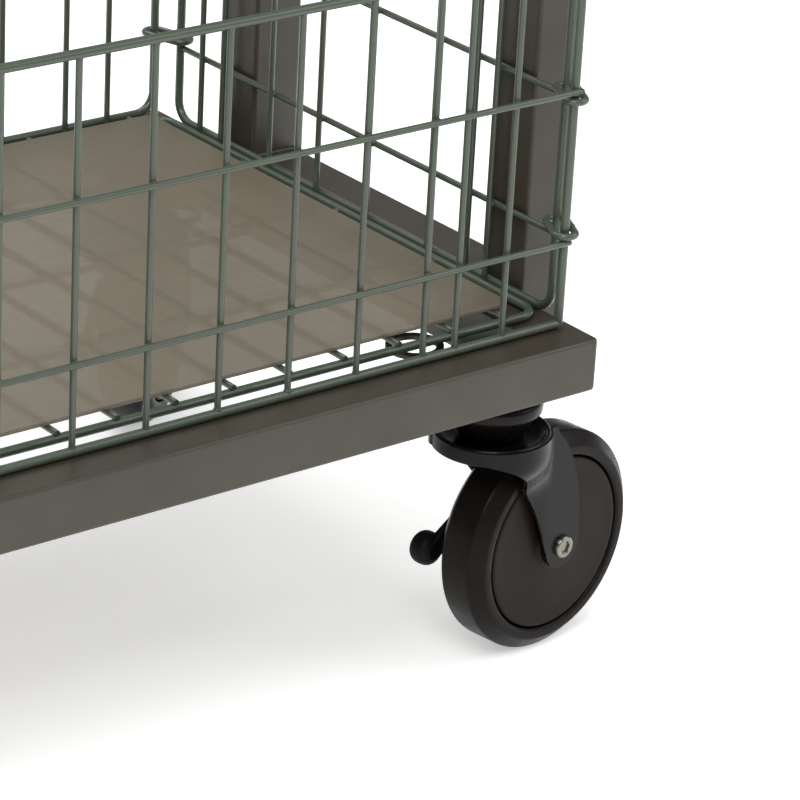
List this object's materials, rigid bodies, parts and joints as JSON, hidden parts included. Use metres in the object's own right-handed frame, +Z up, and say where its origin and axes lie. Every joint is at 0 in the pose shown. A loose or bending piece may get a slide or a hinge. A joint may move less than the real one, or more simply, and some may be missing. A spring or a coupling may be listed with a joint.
{
  "type": "roll cage container",
  "caption": "Low roll cage on swivel casters: tube base, wire side and back panels between push-bar posts, a low hinged wire gate and a clear floor sheet.",
  "frame": {"origin": "on the floor, under the middle of the base", "axes": "+X along the base from its left end to the end where the gate is hinged, +Y from the gate to the back panel, +Z up"},
  "size_m": [0.9398, 0.493, 1.15],
  "materials": {
    "taupe_paint": "semi-gloss powder coat",
    "green_coat": "satin coated wire",
    "clear_sheet": "glossy translucent sheet",
    "black_paint": "gloss black",
    "black_plastic": "moulded",
    "wheel_plastic": "moulded satin",
    "tyre_rubber": "smooth",
    "zinc": "bright zinc plate"
  },
  "bodies": {
    "frame": {"front_rail": "taupe_paint", "back_rail": "taupe_paint", "left_rail": "taupe_paint", "right_rail": "taupe_paint", "post_front_left": "taupe_paint", "post_cap_front_left": "black_plastic", "post_back_left": "taupe_paint", "post_cap_back_left": "black_plastic", "crossbar_left": "taupe_paint", "push_bar_left": "taupe_paint", "post_front_right": "taupe_paint", "post_cap_front_right": "black_plastic", "post_back_right": "taupe_paint", "post_cap_back_right": "black_plastic", "crossbar_right": "taupe_paint", "push_bar_right": "taupe_paint", "corner_plate_front_left": "taupe_paint", "corner_plate_back_left": "taupe_paint", "corner_plate_front_right": "taupe_paint", "corner_plate_back_right": "taupe_paint", "back_panel": "green_coat", "side_panel_left": "green_coat", "side_panel_right": "green_coat", "floor_grid": "green_coat", "corner_ring_left_low": "green_coat", "corner_ring_left_middle": "green_coat", "corner_ring_left_high": "green_coat", "corner_ring_right_low": "green_coat", "corner_ring_right_middle": "green_coat", "corner_ring_right_high": "green_coat", "caster_front_left_swivel_head": "black_paint", "caster_front_right_swivel_head": "black_paint", "caster_back_left_swivel_head": "black_paint", "caster_back_right_swivel_head": "black_paint"},
    "floor_sheet": {"floor_sheet": "clear_sheet"},
    "gate": {"front_gate": "green_coat", "gate_ring_lower": "green_coat", "gate_ring_upper": "green_coat"},
    "latch": {"gate_latch": "black_paint"},
    "caster_front_left": {"caster_front_left_fork": "black_paint", "caster_front_left_axle_bolt": "zinc"},
    "caster_front_left_wheel": {"caster_front_left_wheel_hub": "wheel_plastic", "caster_front_left_tyre": "tyre_rubber"},
    "caster_front_left_brake": {"caster_front_left_brake_lever": "black_plastic"},
    "caster_front_right": {"caster_front_right_fork": "black_paint", "caster_front_right_axle_bolt": "zinc"},
    "caster_front_right_wheel": {"caster_front_right_wheel_hub": "wheel_plastic", "caster_front_right_tyre": "tyre_rubber"},
    "caster_front_right_brake": {"caster_front_right_brake_lever": "black_plastic"},
    "caster_back_left": {"caster_back_left_fork": "black_paint", "caster_back_left_axle_bolt": "zinc"},
    "caster_back_left_wheel": {"caster_back_left_wheel_hub": "wheel_plastic", "caster_back_left_tyre": "tyre_rubber"},
    "caster_back_left_brake": {"caster_back_left_brake_lever": "black_plastic"},
    "caster_back_right": {"caster_back_right_fork": "black_paint", "caster_back_right_axle_bolt": "zinc"},
    "caster_back_right_wheel": {"caster_back_right_wheel_hub": "wheel_plastic", "caster_back_right_tyre": "tyre_rubber"},
    "caster_back_right_brake": {"caster_back_right_brake_lever": "black_plastic"}
  },
  "joints": [
    {"name": "gate_hinge", "type": "hinge", "parent": "frame", "child": "gate", "pos_m": [0.402, -0.168, 0.28625], "axis": [0, 0, 1], "range_deg": [0, 180]},
    {"name": "latch_turn", "type": "hinge", "parent": "gate", "child": "latch", "pos_m": [-0.3945, -0.183, 0.337], "axis": [0, 0, 1], "range_deg": [-100, 0]},
    {"name": "floor_sheet_lift", "type": "slide", "parent": "frame", "child": "floor_sheet", "axis": [0, 0, 1], "range_m": [0, 0.2]},
    {"name": "caster_front_left_swivel", "type": "hinge", "parent": "frame", "child": "caster_front_left", "pos_m": [-0.365, -0.169, 0.133], "axis": [0, 0, 1], "continuous": true},
    {"name": "caster_front_left_roll", "type": "hinge", "parent": "caster_front_left", "child": "caster_front_left_wheel", "pos_m": [-0.39547, -0.19643, 0.0635], "axis": [0.6691, -0.7431, 0], "continuous": true},
    {"name": "caster_front_left_brake_press", "type": "hinge", "parent": "caster_front_left", "child": "caster_front_left_brake", "pos_m": [-0.38432, -0.1864, 0.084], "axis": [-0.6691, 0.7431, 0], "range_deg": [0, 20]},
    {"name": "caster_front_right_swivel", "type": "hinge", "parent": "frame", "child": "caster_front_right", "pos_m": [0.365, -0.169, 0.133], "axis": [0, 0, 1], "continuous": true},
    {"name": "caster_front_right_roll", "type": "hinge", "parent": "caster_front_right", "child": "caster_front_right_wheel", "pos_m": [0.4056, -0.16329, 0.0635], "axis": [-0.1392, 0.9903, 0], "continuous": true},
    {"name": "caster_front_right_brake_press", "type": "hinge", "parent": "caster_front_right", "child": "caster_front_right_brake", "pos_m": [0.39075, -0.16538, 0.084], "axis": [0.1392, -0.9903, 0], "range_deg": [0, 20]},
    {"name": "caster_back_left_swivel", "type": "hinge", "parent": "frame", "child": "caster_back_left", "pos_m": [-0.365, 0.169, 0.133], "axis": [0, 0, 1], "continuous": true},
    {"name": "caster_back_left_roll", "type": "hinge", "parent": "caster_back_left", "child": "caster_back_left_wheel", "pos_m": [-0.4056, 0.16329, 0.0635], "axis": [0.1392, -0.9903, 0], "continuous": true},
    {"name": "caster_back_left_brake_press", "type": "hinge", "parent": "caster_back_left", "child": "caster_back_left_brake", "pos_m": [-0.39075, 0.16538, 0.084], "axis": [-0.1392, 0.9903, 0], "range_deg": [0, 20]},
    {"name": "caster_back_right_swivel", "type": "hinge", "parent": "frame", "child": "caster_back_right", "pos_m": [0.365, 0.169, 0.133], "axis": [0, 0, 1], "continuous": true},
    {"name": "caster_back_right_roll", "type": "hinge", "parent": "caster_back_right", "child": "caster_back_right_wheel", "pos_m": [0.39547, 0.19643, 0.0635], "axis": [-0.6691, 0.7431, 0], "continuous": true},
    {"name": "caster_back_right_brake_press", "type": "hinge", "parent": "caster_back_right", "child": "caster_back_right_brake", "pos_m": [0.38432, 0.1864, 0.084], "axis": [0.6691, -0.7431, 0], "range_deg": [0, 20]}
  ]
}
